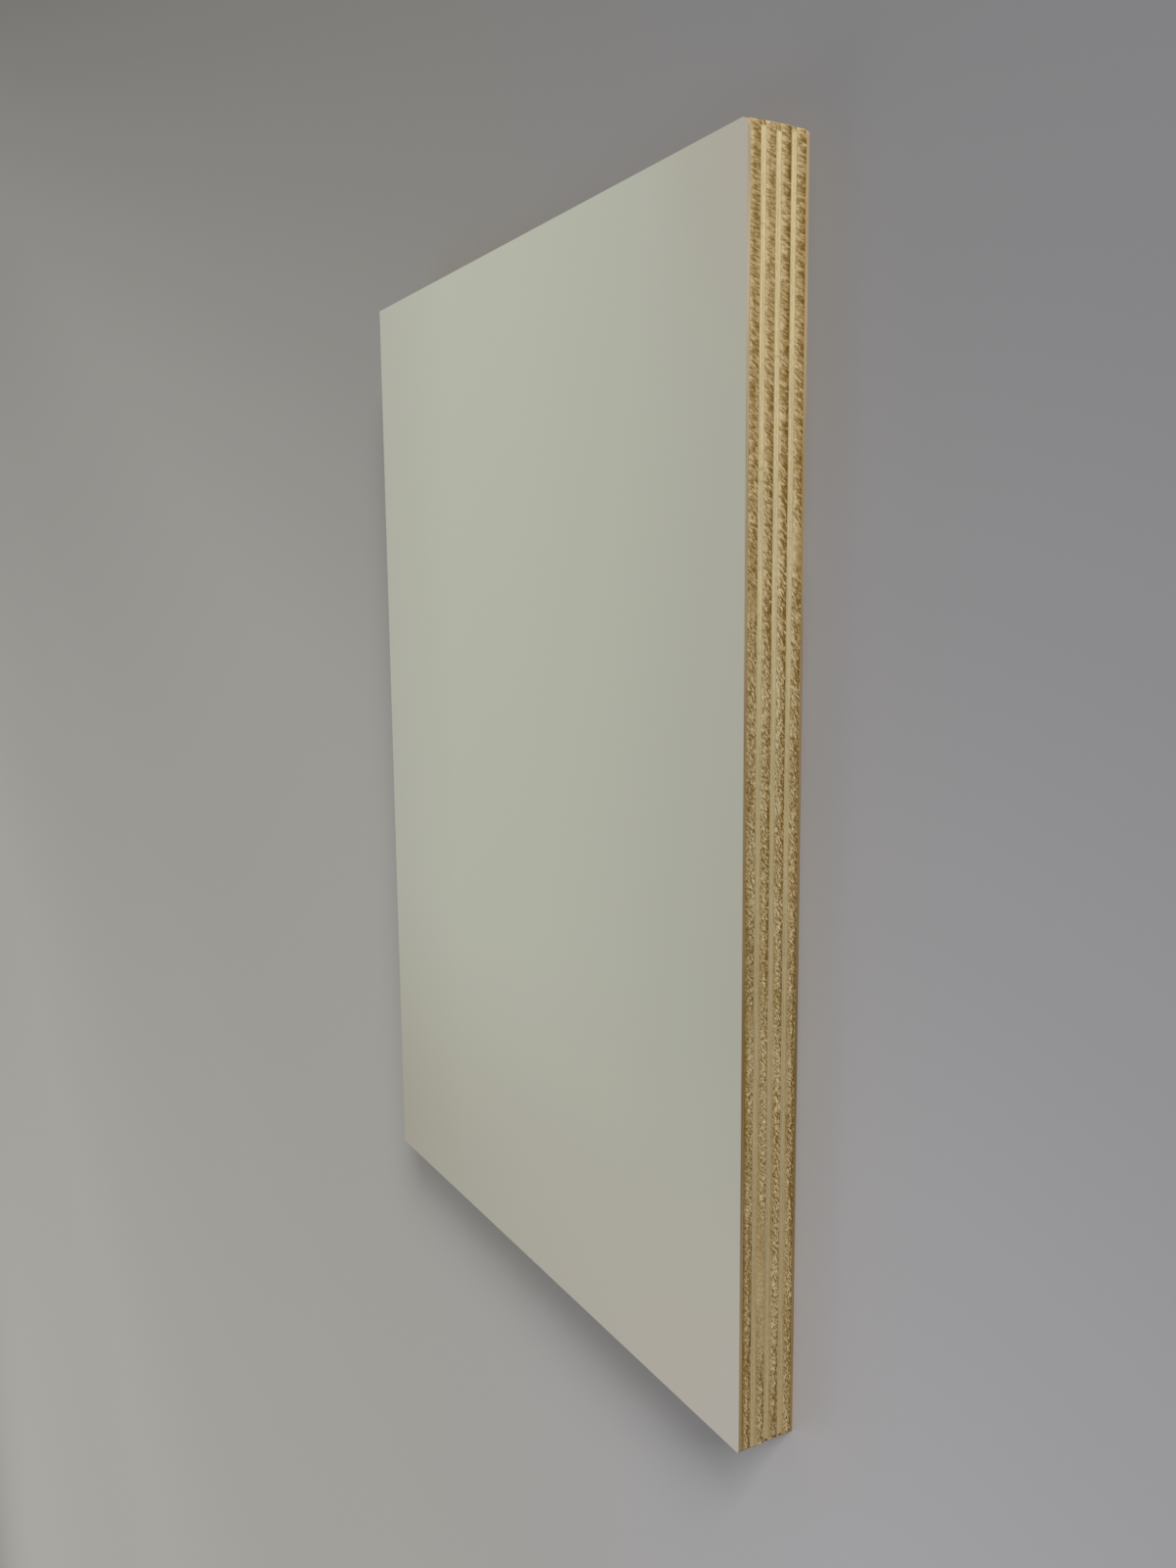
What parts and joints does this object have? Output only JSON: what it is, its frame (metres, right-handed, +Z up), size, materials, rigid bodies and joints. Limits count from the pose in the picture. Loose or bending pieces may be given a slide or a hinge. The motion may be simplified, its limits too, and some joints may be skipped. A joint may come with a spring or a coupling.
{
  "type": "plywood sheet",
  "caption": "Flat rectangular plywood sheet of crossed veneers with a smooth white face and bare sawn edges that show the plies.",
  "frame": {"origin": "middle of the underside, the bare back veneer", "axes": "+X along the long side, +Y along the short side away from the edge shown in the picture, +Z up out of the white face"},
  "size_m": [0.297, 0.21, 0.016],
  "materials": {
    "white_face": "satin white, very slightly warm",
    "outer_veneer": "bare, sanded",
    "cross_ply": "rough sawn end grain on the long edges",
    "long_ply": "pale, clean cut along the grain on the long edges"
  },
  "bodies": {
    "root": {"back_veneer": "outer_veneer", "cross_ply_1": "cross_ply", "long_ply_1": "long_ply", "cross_ply_2": "cross_ply", "long_ply_2": "long_ply", "cross_ply_3": "cross_ply", "long_ply_3": "long_ply", "cross_ply_4": "cross_ply", "face_veneer": "outer_veneer", "face_film": "white_face"}
  },
  "joints": []
}
